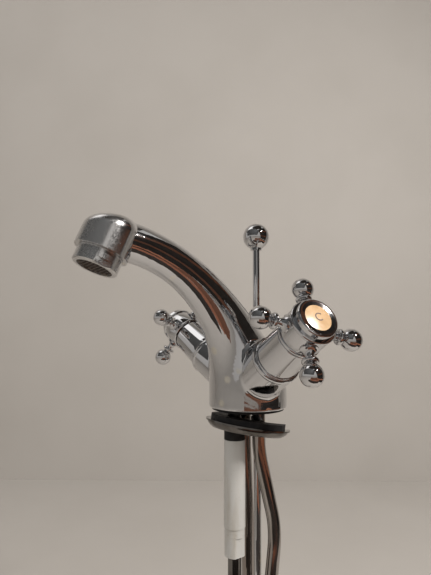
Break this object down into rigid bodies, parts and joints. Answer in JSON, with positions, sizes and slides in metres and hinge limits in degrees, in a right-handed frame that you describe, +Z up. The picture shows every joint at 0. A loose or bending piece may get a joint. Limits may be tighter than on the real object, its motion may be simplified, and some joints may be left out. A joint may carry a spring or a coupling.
{
  "type": "bathroom mixer faucet",
  "caption": "Single-hole basin mixer tap with a curved cast spout, angled ceramic valves with ball-ended cross handles, a pop-up lift rod and copper inlet tails.",
  "frame": {"origin": "centre of the deck seat under the base", "axes": "+Z up out of the deck, spout towards -Y, cold valve towards +X"},
  "size_m": [0.1588, 0.1339, 0.3574],
  "materials": {
    "chrome": "polished chrome plate on cast brass",
    "tail_chrome": "chrome plated copper tube, slightly dull",
    "brass": "machined brass",
    "black_rubber": "black moulded rubber",
    "white_plastic": "white moulded plastic, slightly stained",
    "dark_plastic": "dark moulded plastic",
    "nylon": "natural nylon",
    "ceramic": "lapped alumina ceramic",
    "fibre": "red fibre washer",
    "zinc_steel": "zinc plated pressed steel, dull",
    "cream_enamel": "glazed cream index disc"
  },
  "bodies": {
    "tap_body": {"mixer_body": "chrome", "seat_ring": "black_rubber", "rod_bush": "nylon", "fixing_stud": "zinc_steel", "aerator_housing": "chrome", "aerator_screen": "dark_plastic", "aerator_core": "dark_plastic", "aerator_washer": "black_rubber", "cold_seat_seal": "black_rubber", "cold_fixed_disc": "ceramic", "cold_headwork": "brass", "cold_headwork_washer": "fibre", "cold_bonnet": "chrome", "cold_tail": "tail_chrome", "cold_tail_nipple": "brass", "cold_tail_oring": "black_rubber", "hot_seat_seal": "black_rubber", "hot_fixed_disc": "ceramic", "hot_headwork": "brass", "hot_headwork_washer": "fibre", "hot_bonnet": "chrome", "hot_tail": "tail_chrome", "hot_tail_nipple": "brass", "hot_tail_oring": "black_rubber"},
    "cold_handle": {"cold_spindle": "brass", "cold_spindle_oring": "black_rubber", "cold_circlip": "zinc_steel", "cold_moving_disc": "ceramic", "cold_handle_hub": "chrome", "cold_bezel": "chrome", "cold_index_disc": "cream_enamel", "cold_handle_screw": "zinc_steel", "cold_handle_arm_1": "chrome", "cold_handle_arm_2": "chrome", "cold_handle_arm_3": "chrome", "cold_handle_arm_4": "chrome"},
    "hot_handle": {"hot_spindle": "brass", "hot_spindle_oring": "black_rubber", "hot_circlip": "zinc_steel", "hot_moving_disc": "ceramic", "hot_handle_hub": "chrome", "hot_bezel": "chrome", "hot_index_disc": "cream_enamel", "hot_handle_screw": "zinc_steel", "hot_handle_arm_1": "chrome", "hot_handle_arm_2": "chrome", "hot_handle_arm_3": "chrome", "hot_handle_arm_4": "chrome"},
    "lift_control": {"lift_rod": "chrome", "lift_knob": "chrome"},
    "clamp_set": {"clamp_plate": "zinc_steel", "clamp_gasket": "black_rubber", "clamp_bush": "black_rubber", "spacer_sleeve": "white_plastic", "fixing_nut": "white_plastic"}
  },
  "joints": [
    {"name": "cold_handle_turn", "type": "hinge", "parent": "tap_body", "child": "cold_handle", "pos_m": [0.06316, -0.01114, 0.04852], "axis": [0.8529, -0.1504, 0.5], "range_deg": [-180, 0]},
    {"name": "hot_handle_turn", "type": "hinge", "parent": "tap_body", "child": "hot_handle", "pos_m": [-0.06316, -0.01114, 0.04852], "axis": [-0.8529, -0.1504, 0.5], "range_deg": [0, 180]},
    {"name": "lift_rod_slide", "type": "slide", "parent": "tap_body", "child": "lift_control", "axis": [0, 0, 1], "range_m": [-0.04, 0.01]},
    {"name": "clamp_slide", "type": "slide", "parent": "tap_body", "child": "clamp_set", "axis": [0, 0, 1], "range_m": [-0.025, 0.0015]}
  ]
}
